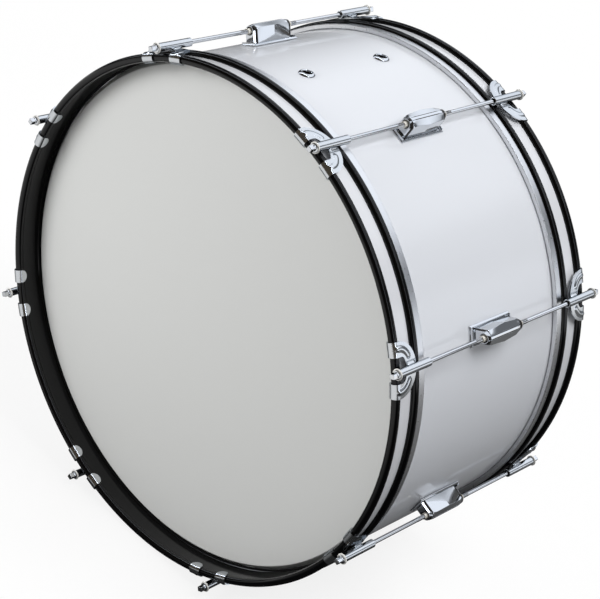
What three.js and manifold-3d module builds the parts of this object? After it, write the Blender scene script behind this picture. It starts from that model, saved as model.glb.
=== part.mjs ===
import * as THREE from 'three';
import { mergeVertices } from 'three/addons/utils/BufferGeometryUtils.js';
import Module from 'manifold-3d';

// A marching bass drum, in millimetres.
// The drum's axis lies along Y and its front head faces -Y. +Z is up, and the drum
// stands on its two hoops at Z = 0. The eight stations, each with a lug, two tension
// rods and two claws, are numbered clockwise from the top as seen from the front.

const wasm = await Module();
wasm.setup();

// Counts of copies and of flat sides
const stationCount = 8;
const ringSides = 48;
const rodSides = 8;
const barrelSides = 8;
const screwSides = 6;
const ventSides = 12;
const beadSides = 8;
const tabSteps = 3;
const plateSteps = 5;
const archSteps = 6;

// Gaps and overruns
const seatGap = 0.3;
const joinDepth = 0.5;
const cutOverrun = 2;

// Shell and its wrap
const shellDiameter = 660.4;
const shellLength = 300;
const plyThickness = 7;
const wrapThickness = 0.6;
const edgeInset = 2;
const edgeSlopeHeight = 8.5;

// Heads, each a film and the flesh hoop that holds it
const filmThickness = 0.3;
const collarHeight = 9.2;
const skirtHeight = 8;
const fleshHoopDepth = 6;
const fleshHoopHeight = 10.4;
const fleshHoopChamfer = 1;

// Hoops, rolled with a round bead along each edge and an inlay between the beads
const hoopWidth = 43.5;
const beadDiameter = 10.6;
const hoopWallThickness = 1.5;
const inlayThickness = 1.2;

// Tension rods
const rodStandoff = 18.1;
const shankDiameter = 5.5;
const tipChamfer = 1;
const threadEngagement = 22;
const flangeDiameter = 14;
const flangeThickness = 2.4;
const keyWidth = 6.4;
const keyLength = 8.4;

// Claws
const clawThickness = 1.6;
const clawWidth = 67;
const clawReach = 35;
const clawArmWidth = 18;
const clawWindowReach = 19;
const clawTabReach = 13;
const barrelDiameter = 10.6;
const barrelBore = 7.8;
const barrelLength = 54;
const barrelOverhang = 3.2;
const saddleWidth = 8;
const saddleLength = 14;

// Lugs and their mounting screws
const lugBaseLength = 77;
const lugBaseWidth = 27;
const lugBaseThickness = 2.2;
const lugPadInset = 1.6;
const lugPadThickness = 1;
const lugBodyInset = 7.5;
const lugBodyWidth = 23.4;
const lugFootWidth = 18.4;
const lugRidgeWidth = 5;
const lugRidgeRise = 8.3;
const lugRidgeEndDrop = 2.5;
const lugRidgeInset = 8;
const lugShoulderDrop = 4.3;
const lugBossInset = 4.5;
const lugBossWidth = 14.4;
const lugBore = 11.6;
const screwDiameter = 5;
const screwSpacing = 46;
const screwHeadDiameter = 13;
const screwHeadThickness = 3;

// Swivel nuts, two in each lug with a spring sleeve between them
const nutNoseDiameter = 8;
const nutProtrusion = 5;
const nutNoseLength = 8;
const rodFitGap = 0.4;

// Vents
const ventSpacing = 137.6;
const ventBore = 10;
const ventTubeWall = 2.2;
const ventFlangeDiameter = 22;
const ventFlangeRise = 2;
const ventLipRise = 0.8;
const ventBackDiameter = 19;
const ventBackThickness = 1;

// Lengths along a lug
const lugBodyLength = lugBaseLength - 2 * lugBodyInset;
const lugRidgeLength = lugBodyLength - 2 * lugRidgeInset;
const lugBossLength = lugBaseLength - 2 * lugBossInset;

// Radii from the drum's axis outward
const facetAngle = (2 * Math.PI) / ringSides;
const wrapRadius = shellDiameter / 2;
const shellRadius = wrapRadius - seatGap - wrapThickness;
const shellBoreRadius = shellRadius - plyThickness;
const edgeRadius = shellBoreRadius + edgeInset;
const skirtRadius = wrapRadius + seatGap;
const fleshHoopRadius = skirtRadius + filmThickness + seatGap;
const beadRadius = beadDiameter / 2;
const beadCorner = beadRadius * Math.tan(Math.PI / beadSides);
const beadCircleRadius = wrapRadius + beadRadius;
const hoopCrestRadius = wrapRadius + beadDiameter;
const hoopWallTop = beadCircleRadius - beadCorner;
const hoopWallRadius = hoopWallTop - hoopWallThickness;
const inlayRadius = hoopWallTop + seatGap;
const clawPlateRadius = hoopCrestRadius + seatGap;
const rodCircleRadius = wrapRadius + rodStandoff;

// Places along the axis from the middle outward
const shellEnd = shellLength / 2;
const headPlane = shellEnd + seatGap;
const fleshHoopTop = headPlane - collarHeight;
const hoopInnerFace = fleshHoopTop + seatGap;
const hoopOuterFace = hoopInnerFace + hoopWidth;
const innerBeadPlace = hoopInnerFace + beadRadius;
const outerBeadPlace = hoopOuterFace - beadRadius;
const hookFront = hoopOuterFace + seatGap + clawThickness;
const barrelEnd = hookFront + barrelOverhang;
const nutEnd = lugBossLength / 2 + nutProtrusion;

// One closed mesh: shared vertices merged and flat triangles left out
function closed(geometry) {
  const bare = new THREE.BufferGeometry();
  bare.setAttribute('position', geometry.attributes.position);
  bare.setIndex(geometry.index);
  const merged = mergeVertices(bare);
  const corners = merged.index.array;
  const kept = [];
  for (let i = 0; i < corners.length; i += 3) {
    const [a, b, c] = [corners[i], corners[i + 1], corners[i + 2]];
    if (a !== b && b !== c && c !== a) kept.push(a, b, c);
  }
  merged.setIndex(kept);
  return merged;
}

function solid(geometry) {
  const mesh = closed(geometry);
  const vertProperties = new Float32Array(mesh.attributes.position.array);
  const triVerts = new Uint32Array(mesh.index.array);
  return new wasm.Manifold(new wasm.Mesh({ numProp: 3, vertProperties, triVerts }));
}

function geometryOf(body) {
  const mesh = body.getMesh();
  const geometry = new THREE.BufferGeometry();
  geometry.setAttribute('position', new THREE.BufferAttribute(new Float32Array(mesh.vertProperties), 3));
  geometry.setIndex(new THREE.BufferAttribute(new Uint32Array(mesh.triVerts), 1));
  return geometry;
}

// The profile's points run so that the turned surface faces outward
function outwardProfile(points) {
  const profile = points.map(([radius, place]) => new THREE.Vector2(radius, place));
  return THREE.ShapeUtils.isClockWise(profile) ? profile.reverse() : profile;
}

// A ring round the drum's axis. The middle of each flat side lies at the profile's
// radius, and one side faces straight down and one straight up.
function ring(points) {
  const spread = 1 / Math.cos(facetAngle / 2);
  const profile = outwardProfile(points.map(([radius, place]) => [radius * spread, place]));
  return new THREE.LatheGeometry([...profile, profile[0]], ringSides, facetAngle / 2);
}

// A turned body whose profile's first and last points lie on the axis
function turned(points, sides, phase = 0) {
  const profile = outwardProfile(points);
  while (profile[0].x !== 0 || profile[profile.length - 1].x !== 0) profile.push(profile.shift());
  return new THREE.LatheGeometry(profile, sides, phase);
}

function turnedTube(points, sides) {
  const profile = outwardProfile(points);
  return new THREE.LatheGeometry([...profile, profile[0]], sides);
}

function block(width, length, bottom, top) {
  const geometry = new THREE.BoxGeometry(width, length, top - bottom);
  return geometry.translate(0, 0, (bottom + top) / 2);
}

// An outline in X and Y that stands between two heights
function prism(shape, bottom, top, curveSegments) {
  const options = { depth: top - bottom, bevelEnabled: false, curveSegments };
  return new THREE.ExtrudeGeometry(shape, options).translate(0, 0, bottom);
}

// A round bar along Y at the rod's height
function barAtRod(diameter, start, end, sides) {
  const bar = new THREE.CylinderGeometry(diameter / 2, diameter / 2, end - start, sides);
  return bar.translate(0, (start + end) / 2, rodCircleRadius);
}

// A round bar along Z through the shell's wall
function barThroughWall(diameter, place, bottom, top, sides) {
  const bar = new THREE.CylinderGeometry(diameter / 2, diameter / 2, top - bottom, sides);
  return bar.rotateX(Math.PI / 2).translate(0, place, (bottom + top) / 2);
}

// Corners round part of a bead in a profile, counted from the outward direction toward
// +Y. Flat sides face straight outward, straight inward and along the axis.
function beadCorners(place, size, first, count) {
  const step = (2 * Math.PI) / beadSides;
  const spread = size / Math.cos(step / 2);
  return Array.from({ length: count }, (_, i) => {
    const angle = (first + i + 0.5) * step;
    return [beadCircleRadius + spread * Math.cos(angle), place + spread * Math.sin(angle)];
  });
}

function atStation(body, index) {
  return body.rotate([0, ((index + 0.5) * 360) / stationCount, 0]);
}

// Shell

function wallCuts() {
  const inside = shellBoreRadius - cutOverrun;
  const outside = wrapRadius + cutOverrun;
  const cuts = [];
  for (let station = 0; station < stationCount; station += 1) {
    for (const side of [-1, 1]) {
      const place = (side * screwSpacing) / 2;
      const hole = barThroughWall(screwDiameter + 2 * seatGap, place, inside, outside, screwSides);
      cuts.push(atStation(solid(hole), station));
    }
  }
  for (const side of [-1, 1]) {
    const tube = ventBore + 2 * ventTubeWall;
    const hole = barThroughWall(tube + 2 * seatGap, (side * ventSpacing) / 2, inside, outside, ventSides);
    cuts.push(solid(hole));
  }
  return cuts;
}

function drilled(geometry) {
  return geometryOf(wallCuts().reduce((body, cut) => body.subtract(cut), solid(geometry)));
}

function shellBody() {
  const slopeStart = shellEnd - edgeSlopeHeight;
  const bevelStart = shellEnd - edgeInset;
  return drilled(ring([
    [shellBoreRadius, -bevelStart], [edgeRadius, -shellEnd], [shellRadius, -slopeStart],
    [shellRadius, slopeStart], [edgeRadius, shellEnd], [shellBoreRadius, bevelStart],
  ]));
}

function wrapBody() {
  const end = shellEnd - edgeSlopeHeight - seatGap;
  const inner = wrapRadius - wrapThickness;
  return drilled(ring([[inner, -end], [wrapRadius, -end], [wrapRadius, end], [inner, end]]));
}

// Heads

function headFilm() {
  const spread = 1 / Math.cos(facetAngle / 2);
  const inner = skirtRadius * spread;
  const outer = (skirtRadius + filmThickness) * spread;
  const bend = (edgeRadius + seatGap) * spread;
  const skirtBottom = fleshHoopTop - skirtHeight;
  return turned([
    [0, headPlane], [bend, headPlane], [inner, fleshHoopTop], [inner, skirtBottom],
    [outer, skirtBottom], [outer, fleshHoopTop], [bend, headPlane + filmThickness],
    [0, headPlane + filmThickness],
  ], ringSides, facetAngle / 2);
}

function fleshHoop() {
  const outer = fleshHoopRadius + fleshHoopDepth;
  const bottom = fleshHoopTop - fleshHoopHeight;
  return ring([
    [fleshHoopRadius, bottom], [outer - fleshHoopChamfer, bottom], [outer, bottom + fleshHoopChamfer],
    [outer, fleshHoopTop - fleshHoopChamfer], [outer - fleshHoopChamfer, fleshHoopTop],
    [fleshHoopRadius, fleshHoopTop],
  ]);
}

// Hoops

// The hoop's sheet leaves the wall, rolls round the bead and ends with a seam beside the
// wall, so that the bead is hollow
function rolledBead(place, side) {
  const wallCorner = beadSides / 2 - 1;
  const outside = beadCorners(0, beadRadius, -wallCorner, beadSides);
  const last = 1 - wallCorner - beadSides;
  const inside = beadCorners(0, beadRadius - hoopWallThickness, last, beadSides).reverse();
  const acrossSeam = ([radius, along]) => [radius + seatGap, along];
  const [wallEnd, ...round] = outside;
  const profile = [wallEnd, ...inside, acrossSeam(inside[0]), acrossSeam(wallEnd), ...round];
  return profile.map(([radius, along]) => [radius, place + side * along]);
}

// The wall joins both beads: its outer face at a corner of each, its inner face at a
// sloping side
function hoopBody() {
  const wallMeet = beadRadius + beadCorner - (beadCircleRadius - hoopWallRadius);
  return ring([
    ...rolledBead(outerBeadPlace, 1),
    [hoopWallRadius, outerBeadPlace - wallMeet], [hoopWallRadius, innerBeadPlace + wallMeet],
    ...rolledBead(innerBeadPlace, -1).reverse(),
  ]);
}

function hoopInlay() {
  const top = inlayRadius + inlayThickness;
  const from = innerBeadPlace + beadRadius + seatGap;
  const to = outerBeadPlace - beadRadius - seatGap;
  return ring([[inlayRadius, from], [top, from], [top, to], [inlayRadius, to]]);
}

// Claws

// The plate lies over the hoop: a half-moon with a window open toward the rim
function clawPlateOutline() {
  const half = clawWidth / 2;
  const tip = hookFront - clawReach;
  const shoulder = outerBeadPlace;
  const windowHalf = half - clawArmWidth;
  const windowEnd = hookFront - clawWindowReach;
  const rim = shoulder + joinDepth;
  const outline = new THREE.Shape();
  outline.moveTo(-half, rim);
  outline.lineTo(-half, shoulder);
  outline.absellipse(0, shoulder, half, shoulder - tip, Math.PI, 2 * Math.PI);
  outline.lineTo(half, rim);
  outline.lineTo(windowHalf, rim);
  outline.absellipse(0, shoulder, windowHalf, shoulder - windowEnd, 0, -Math.PI, true);
  outline.lineTo(-windowHalf, rim);
  return outline;
}

function clawArmOutline(side) {
  const middle = (side * (clawWidth - clawArmWidth)) / 2;
  const half = clawArmWidth / 2;
  const front = hookFront + cutOverrun;
  const tabLength = clawTabReach - (hookFront - outerBeadPlace);
  const outline = new THREE.Shape();
  outline.moveTo(middle - half, front);
  outline.lineTo(middle - half, outerBeadPlace);
  outline.absellipse(middle, outerBeadPlace, half, tabLength, Math.PI, 2 * Math.PI);
  outline.lineTo(middle + half, front);
  return outline;
}

// The hook's section bends round the outer bead and ends as a tab inside the hoop
function hookRing() {
  const inner = beadRadius + seatGap;
  const outer = inner + clawThickness;
  const tabEnd = hookFront - clawTabReach;
  const halfTurn = beadSides / 2;
  return ring([
    [beadCircleRadius + outer, outerBeadPlace],
    ...beadCorners(outerBeadPlace, outer, 0, halfTurn),
    [beadCircleRadius - outer, tabEnd], [beadCircleRadius - inner, tabEnd],
    ...beadCorners(outerBeadPlace, inner, 0, halfTurn).reverse(),
    [beadCircleRadius + inner, outerBeadPlace],
  ]);
}

function plateRing() {
  const outer = clawPlateRadius + clawThickness;
  const from = hookFront - clawReach - cutOverrun;
  const to = outerBeadPlace + joinDepth;
  return ring([[clawPlateRadius, from], [outer, from], [outer, to], [clawPlateRadius, to]]);
}

function clawBody() {
  const top = rodCircleRadius + barrelDiameter;
  const plate = solid(prism(clawPlateOutline(), 0, top, plateSteps)).intersect(solid(plateRing()));
  const hook = solid(hookRing());
  const arms = [-1, 1].map((side) => {
    return solid(prism(clawArmOutline(side), 0, top, tabSteps)).intersect(hook);
  });
  const saddle = block(saddleWidth, saddleLength, clawPlateRadius + joinDepth, rodCircleRadius);
  saddle.translate(0, hookFront - clawReach + saddleLength / 2, 0);
  const start = barrelEnd - barrelLength;
  const barrel = barAtRod(barrelDiameter, start, barrelEnd, barrelSides);
  const bore = barAtRod(barrelBore, start - cutOverrun, barrelEnd + cutOverrun, barrelSides);
  const joined = [...arms, solid(saddle), solid(barrel)].reduce((body, piece) => body.add(piece), plate);
  return geometryOf(joined.subtract(solid(bore)));
}

// Tension rods, each along +Y with its origin in the middle of the drum

function rodBody() {
  const radius = shankDiameter / 2;
  const tip = nutEnd - threadEngagement;
  const seat = barrelEnd + seatGap;
  const flangeTop = seat + flangeThickness;
  const shank = turned([
    [0, tip], [radius - tipChamfer, tip], [radius, tip + tipChamfer], [radius, seat],
    [flangeDiameter / 2, seat], [flangeDiameter / 2, flangeTop], [0, flangeTop],
  ], rodSides);
  const start = flangeTop - joinDepth;
  const key = new THREE.BoxGeometry(keyWidth, keyLength + joinDepth, keyWidth);
  key.translate(0, start + (keyLength + joinDepth) / 2, 0);
  return geometryOf(solid(shank).add(solid(key)));
}

// Lugs

function lugSection(place, width, ridgeTop) {
  const half = width / 2;
  const foot = lugFootWidth / 2;
  const ridge = lugRidgeWidth / 2;
  const bottom = wrapRadius + seatGap + lugBaseThickness;
  const shoulder = ridgeTop - lugShoulderDrop;
  return [
    [-foot, place, bottom], [foot, place, bottom], [half, place, shoulder],
    [ridge, place, ridgeTop], [-ridge, place, ridgeTop], [-half, place, shoulder],
  ];
}

// A closed body through sections that all have the same number of points
function lofted(sections) {
  const count = sections[0].length;
  const corner = (row, column) => row * count + (column % count);
  const indices = [];
  for (let row = 0; row + 1 < sections.length; row += 1) {
    for (let column = 0; column < count; column += 1) {
      const [a, b] = [corner(row, column), corner(row, column + 1)];
      const [c, d] = [corner(row + 1, column), corner(row + 1, column + 1)];
      indices.push(a, c, b, b, c, d);
    }
  }
  const last = sections.length - 1;
  for (let column = 1; column + 1 < count; column += 1) {
    indices.push(corner(0, 0), corner(0, column), corner(0, column + 1));
    indices.push(corner(last, 0), corner(last, column + 1), corner(last, column));
  }
  const geometry = new THREE.BufferGeometry();
  geometry.setAttribute('position', new THREE.Float32BufferAttribute(sections.flat(2), 3));
  geometry.setIndex(indices);
  return geometry;
}

function lugCasing() {
  const ridge = rodCircleRadius + lugRidgeRise;
  const end = lugBodyLength / 2;
  const bend = lugRidgeLength / 2;
  const bendWidth = lugFootWidth + ((lugBodyWidth - lugFootWidth) * (end - bend)) / end;
  return lofted([
    lugSection(-end, lugFootWidth, ridge - lugRidgeEndDrop),
    lugSection(-bend, bendWidth, ridge),
    lugSection(0, lugBodyWidth, ridge),
    lugSection(bend, bendWidth, ridge),
    lugSection(end, lugFootWidth, ridge - lugRidgeEndDrop),
  ]);
}

// The arch that carries the swivel nuts runs the whole length of the lug's body
function lugArch() {
  const half = lugBossWidth / 2;
  const bottom = wrapRadius + seatGap + lugBaseThickness;
  const arch = new THREE.Shape();
  arch.moveTo(-half, bottom);
  arch.lineTo(half, bottom);
  arch.lineTo(half, rodCircleRadius);
  arch.absarc(0, rodCircleRadius, half, 0, Math.PI);
  const length = lugBossLength / 2;
  return prism(arch, -length, length, archSteps).rotateX(Math.PI / 2);
}

function lugScrew(side) {
  const place = (side * screwSpacing) / 2;
  const headTop = shellBoreRadius - seatGap;
  const top = wrapRadius + seatGap + lugBaseThickness;
  const shaft = barThroughWall(screwDiameter, place, headTop - joinDepth, top, screwSides);
  const head = barThroughWall(screwHeadDiameter, place, headTop - screwHeadThickness, headTop, screwSides);
  return solid(shaft).add(solid(head));
}

function lugBody() {
  const bottom = wrapRadius + seatGap;
  const deck = bottom + lugBaseThickness;
  const base = block(lugBaseWidth, lugBaseLength, bottom, deck);
  const padShrink = 2 * lugPadInset;
  const pad = block(lugBaseWidth - padShrink, lugBaseLength - padShrink, bottom, deck + lugPadThickness);
  const bore = barAtRod(lugBore, -lugBaseLength, lugBaseLength, rodSides);
  const joined = [pad, lugCasing(), lugArch()].reduce((body, piece) => body.add(solid(piece)), solid(base));
  const hollow = joined.subtract(solid(bore));
  return geometryOf(hollow.add(lugScrew(-1)).add(lugScrew(1)));
}

function nutPair() {
  const bore = shankDiameter / 2 + rodFitGap;
  const nose = nutNoseDiameter / 2;
  const seat = lugBore / 2 - rodFitGap;
  const shoulder = nutEnd - nutNoseLength;
  return turnedTube([
    [bore, -nutEnd], [nose, -nutEnd], [nose, -shoulder], [seat, -shoulder],
    [seat, shoulder], [nose, shoulder], [nose, nutEnd], [bore, nutEnd],
  ], rodSides);
}

// Vents, each an eyelet crimped through the shell's wall

function ventBody() {
  const bore = ventBore / 2;
  const tube = bore + ventTubeWall;
  const flange = ventFlangeDiameter / 2;
  const front = wrapRadius + seatGap;
  const back = shellBoreRadius - seatGap;
  const eyelet = turnedTube([
    [bore, back - ventBackThickness], [ventBackDiameter / 2, back - ventBackThickness],
    [ventBackDiameter / 2, back], [tube, back], [tube, front], [flange, front],
    [flange, front + ventLipRise], [tube, front + ventFlangeRise], [bore, front + ventLipRise],
  ], ventSides);
  return eyelet.rotateX(Math.PI / 2);
}

// Finishes

const finishes = {
  birchPly: { color: 0xc9a877, roughness: 0.6, metalness: 0 },
  whiteWrap: { color: 0xe2e4ea, roughness: 0.12, metalness: 0 },
  headFilm: { color: 0xdadcdb, roughness: 0.45, metalness: 0 },
  aluminium: { color: 0xc6c8cc, roughness: 0.3, metalness: 1 },
  blackEnamel: { color: 0x0d0d0f, roughness: 0.15, metalness: 0 },
  chrome: { color: 0xdcdfe3, roughness: 0.08, metalness: 1 },
  nickelPlate: { color: 0xe0d8c4, roughness: 0.25, metalness: 1 },
};

function piece(name, geometry, finish) {
  const mesh = new THREE.Mesh(closed(geometry), new THREE.MeshStandardMaterial(finishes[finish]));
  mesh.name = name;
  return mesh;
}

// Both ends are alike, and the front one is turned half way round the vertical
function endGroup(side) {
  const end = new THREE.Group();
  if (side === 'front') end.rotation.z = Math.PI;
  end.add(piece(`${side}_head`, headFilm(), 'headFilm'));
  end.add(piece(`${side}_flesh_hoop`, fleshHoop(), 'aluminium'));
  end.add(piece(`${side}_hoop`, hoopBody(), 'blackEnamel'));
  end.add(piece(`${side}_hoop_inlay`, hoopInlay(), 'whiteWrap'));
  const vent = piece(`${side}_vent`, ventBody(), 'chrome');
  vent.position.y = ventSpacing / 2;
  end.add(vent);
  return end;
}

function tensionGear(side, index, claw, rod) {
  const gear = new THREE.Group();
  if (side === 'front') gear.rotation.z = Math.PI;
  gear.add(piece(`${side}_claw_${index + 1}`, claw, 'chrome'));
  const screw = piece(`${side}_rod_${index + 1}`, rod, 'chrome');
  screw.position.z = rodCircleRadius;
  gear.add(screw);
  return gear;
}

function stations() {
  const [lug, nuts, claw, rod] = [lugBody(), nutPair(), clawBody(), rodBody()];
  return Array.from({ length: stationCount }, (_, index) => {
    const station = new THREE.Group();
    station.rotation.y = ((index + 0.5) * 2 * Math.PI) / stationCount;
    station.add(piece(`lug_${index + 1}`, lug, 'chrome'));
    const pair = piece(`swivel_nuts_${index + 1}`, nuts, 'nickelPlate');
    pair.position.z = rodCircleRadius;
    station.add(pair);
    station.add(tensionGear('front', index, claw, rod), tensionGear('rear', index, claw, rod));
    return station;
  });
}

const group = new THREE.Group();
group.position.z = hoopCrestRadius;
group.add(piece('shell', shellBody(), 'birchPly'));
group.add(piece('shell_wrap', wrapBody(), 'whiteWrap'));
group.add(endGroup('front'), endGroup('rear'));
group.add(...stations());

export default group;
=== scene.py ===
# %% [markdown]
# # A marching bass drum
# This notebook dresses the CAD model of a marching bass drum. The model is loaded first
# and stays where it is. Each step then makes one piece or one finish in the same frame:
# +Z up, the drum's axis along Y, the front head facing -Y. Sizes are in millimetres, as a
# drum maker gives them, and MM turns them into the metres that Blender works in.

# %% Load the frame
import math

import bmesh
import bpy
from mathutils import Matrix, Vector


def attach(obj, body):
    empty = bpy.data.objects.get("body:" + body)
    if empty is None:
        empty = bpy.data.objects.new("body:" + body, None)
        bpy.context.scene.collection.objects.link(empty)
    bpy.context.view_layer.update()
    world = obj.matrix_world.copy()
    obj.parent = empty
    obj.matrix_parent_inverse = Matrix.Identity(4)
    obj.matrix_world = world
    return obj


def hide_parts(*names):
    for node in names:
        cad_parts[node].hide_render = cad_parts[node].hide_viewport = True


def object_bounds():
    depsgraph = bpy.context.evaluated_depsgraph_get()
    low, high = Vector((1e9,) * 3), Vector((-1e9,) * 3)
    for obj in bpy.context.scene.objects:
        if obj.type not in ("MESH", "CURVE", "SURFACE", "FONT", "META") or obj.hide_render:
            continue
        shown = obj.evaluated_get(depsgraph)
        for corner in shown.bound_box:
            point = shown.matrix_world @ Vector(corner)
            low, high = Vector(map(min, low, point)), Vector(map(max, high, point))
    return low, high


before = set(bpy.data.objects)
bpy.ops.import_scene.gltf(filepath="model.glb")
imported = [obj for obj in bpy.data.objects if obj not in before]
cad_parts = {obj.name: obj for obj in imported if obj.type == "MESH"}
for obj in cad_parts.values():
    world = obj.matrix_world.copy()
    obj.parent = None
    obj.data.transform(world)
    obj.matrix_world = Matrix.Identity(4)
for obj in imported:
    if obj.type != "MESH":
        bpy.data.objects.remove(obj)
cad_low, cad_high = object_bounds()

MM = 0.001
AXIS = Vector((0, 0, (cad_low.z + cad_high.z) / 2))
print("nodes", len(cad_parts), "axis height", round(AXIS.z, 4))

# %% [markdown]
# ## The camera
# The photograph was taken with a long lens from above the drum's right front, and with
# the camera tilted to one side. A camera can be placed by three angles, but a tilted one
# is easier to place by the direction it looks along and the direction that is up in its
# picture, so that is the way used here.

# %% Place the camera
SENSOR_WIDTH = 36
PHOTO_LENS = 101
CAMERA_PLACE = Vector((1.1677, -1.5313, 1.4481))
LOOK = Vector((-0.5185, 0.6936, -0.5001)).normalized()
UP = Vector((-0.4906, 0.2378, 0.8384)).normalized()

camera_data = bpy.data.cameras.new("photo_camera")
camera_data.lens = PHOTO_LENS
camera_data.sensor_width = SENSOR_WIDTH
camera = bpy.data.objects.new("photo_camera", camera_data)
bpy.context.collection.objects.link(camera)
side = LOOK.cross(UP).normalized()
turn = Matrix((side, side.cross(LOOK), -LOOK)).transposed()
camera.matrix_world = Matrix.Translation(CAMERA_PLACE) @ turn.to_4x4()
bpy.context.scene.camera = camera
bpy.context.scene.view_settings.view_transform = "Standard"
print("camera looks along", [round(v, 3) for v in LOOK])

# %% [markdown]
# ## Small helpers
# A few things are needed again and again. An operator acts on all that is selected, so
# each step starts by selecting nothing, or only the piece it works on. A modifier is
# given its settings and applied, so that the piece ends as a plain mesh. A colour's hex
# value is turned into the linear numbers a shader works with, and a shader node is added
# with its settings and links in one line.

# %% Helpers for selection, modifiers, colours and nodes
def deselect():
    """Leaves edit mode with nothing selected."""
    if bpy.context.object and bpy.context.object.mode != "OBJECT":
        bpy.ops.object.mode_set(mode="OBJECT")
    bpy.ops.object.select_all(action="DESELECT")


def select_only(piece):
    """Selects one piece and makes it the active one."""
    deselect()
    piece.select_set(True)
    bpy.context.view_layer.objects.active = piece


def modify(piece, kind, **settings):
    """Gives a piece a modifier with its settings and applies it."""
    select_only(piece)
    modifier = piece.modifiers.new(kind.lower(), kind)
    for name, value in settings.items():
        setattr(modifier, name, value)
    bpy.ops.object.modifier_apply(modifier=modifier.name)


def linear(code):
    """The linear colour of an sRGB hex value."""
    parts = [int(code[i:i + 2], 16) / 255 for i in (1, 3, 5)]
    return [p / 12.92 if p <= 0.04045 else ((p + 0.055) / 1.055) ** 2.4 for p in parts] + [1]


def add_node(tree, kind, inputs, **settings):
    """A new node with its settings, and its sockets set or linked."""
    node = tree.nodes.new(kind)
    for name, value in settings.items():
        setattr(node, name, value)
    for name, value in inputs.items():
        if isinstance(value, bpy.types.NodeSocket):
            tree.links.new(value, node.inputs[name])
        else:
            node.inputs[name].default_value = value
    return node


WHITE = linear("#FFFFFF")
print("white is", WHITE)

# %% [markdown]
# ## A way to start a material
# Every finish here is a Principled shader. What is the same all over, such as the colour,
# is set on the shader itself. Only the fine unevenness that a real surface has comes from
# nodes: a noise on Object coordinates, which stay with the piece when it moves, at a
# scale worked out from the real size of the grain. The same noise drives a small bump and
# a small change of roughness, because on a real surface the two go together.

# %% Material helper
GRAIN_DETAIL = 3
NOISE_LOW, NOISE_HIGH = 0.3, 0.7


def finish(name, color, grain, depth, rough, vary, **sockets):
    """A finish with a grain of some size and depth in mm, and a roughness that varies."""
    material = bpy.data.materials.new(name)
    material.use_nodes = True
    tree = material.node_tree
    shader = tree.nodes["Principled BSDF"]
    shader.inputs["Base Color"].default_value = linear(color)
    for socket, value in sockets.items():
        shader.inputs[socket.replace("_", " ")].default_value = value
    where = add_node(tree, "ShaderNodeTexCoord", {})
    noise = add_node(tree, "ShaderNodeTexNoise", {
        "Vector": where.outputs["Object"], "Scale": 1 / (grain * MM), "Detail": GRAIN_DETAIL})
    bump = add_node(tree, "ShaderNodeBump", {
        "Height": noise.outputs["Fac"], "Distance": depth * MM, "Strength": 1})
    tree.links.new(bump.outputs["Normal"], shader.inputs["Normal"])
    spread = add_node(tree, "ShaderNodeMapRange", {
        "Value": noise.outputs["Fac"], "From Min": NOISE_LOW, "From Max": NOISE_HIGH,
        "To Min": rough - vary, "To Max": rough + vary})
    tree.links.new(spread.outputs["Result"], shader.inputs["Roughness"])
    return material


print("grain detail", GRAIN_DETAIL)

# %% [markdown]
# ## The finishes
# Each finish starts from what the real one is and how its surface was made, and is named
# for that. Plastics, paint and wood come first. They keep the shader's own gloss, made a
# little weaker or given a coat, which is simpler than a second shader on top.

# %% Make the plastics, the paint and the wood
# Gloss PVC sheet, calendered: a cool white that mirrors the studio softly, a little wavy.
wrap_pvc = finish("gloss_pvc_sheet", "#DDE0E6", grain=30, depth=0.02, rough=0.12, vary=0.02,
                  Coat_Weight=0.15, Coat_Roughness=0.03, Specular_IOR_Level=0.32)
# Gloss PVC strip, extruded: as white as the wrap, with a harder shine on top.
inlay_pvc = finish("gloss_pvc_strip", "#DFE1E6", grain=20, depth=0.02, rough=0.16, vary=0.02,
                   Coat_Weight=0.5, Coat_Roughness=0.04)
# PET film with a sprayed coat: an even satin white, too rough to mirror anything.
pet_film = finish("coated_pet_film", "#DADBD9", grain=0.9, depth=0.01, rough=0.42, vary=0.04)
# Black gloss enamel, stoved on steel: deep black with thin highlights.
enamel = finish("black_gloss_enamel", "#050506", grain=4, depth=0.004, rough=0.08, vary=0.02,
                Specular_IOR_Level=0.3)
# White nylon, moulded: a soft, slightly warm white.
nylon = finish("white_nylon", "#E9E8E4", grain=0.8, depth=0.01, rough=0.4, vary=0.04)
# Birch ply, sanded: a warm, matt wood, seen only from inside.
birch = finish("birch_ply", "#CDB28A", grain=3, depth=0.05, rough=0.45, vary=0.05)
print("plastics, paint and wood", len(bpy.data.materials))

# %% [markdown]
# Metals take their look from what they mirror, so their roughness matters most, and the dull ones
# are a little less metallic. On the rods and claws a darker tint at grazing angles darkens the
# reflection toward their edges.

# %% Make the metals
# Bright chrome plate on a polished casting: a clear mirror, a little cold.
chrome = finish("bright_chrome_plate", "#D3D6DA", grain=9, depth=0.01, rough=0.05, vary=0.02,
                Metallic=1)
# Chrome plate on drawn steel: a clear mirror whose edges turn dark.
rod_chrome = finish("drawn_rod_chrome", "#D9DBDE", grain=5, depth=0.006, rough=0.06, vary=0.02,
                    Metallic=1, Specular_Tint=linear("#70767C"))
# Satin chrome plate on stamped sheet: blurred reflections that show the pressed ribs.
satin_chrome = finish("satin_chrome_plate", "#D2D5D8", grain=1.2, depth=0.004, rough=0.17,
                      vary=0.03, Metallic=1, Specular_Tint=linear("#9AA0A6"))
# Painted shade for bores and grooves: a dark, dull colour laid where shade falls.
recess_shade = finish("painted_shade_in_recesses", "#1C1713", grain=1, depth=0.01, rough=0.35, vary=0.05,
                Metallic=0.6)
# Nickel plate, turned: warmer and duller than the chrome round it.
nickel = finish("nickel_plate", "#E9E4D8", grain=1.5, depth=0.006, rough=0.34, vary=0.04,
                Metallic=0.7)
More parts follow.
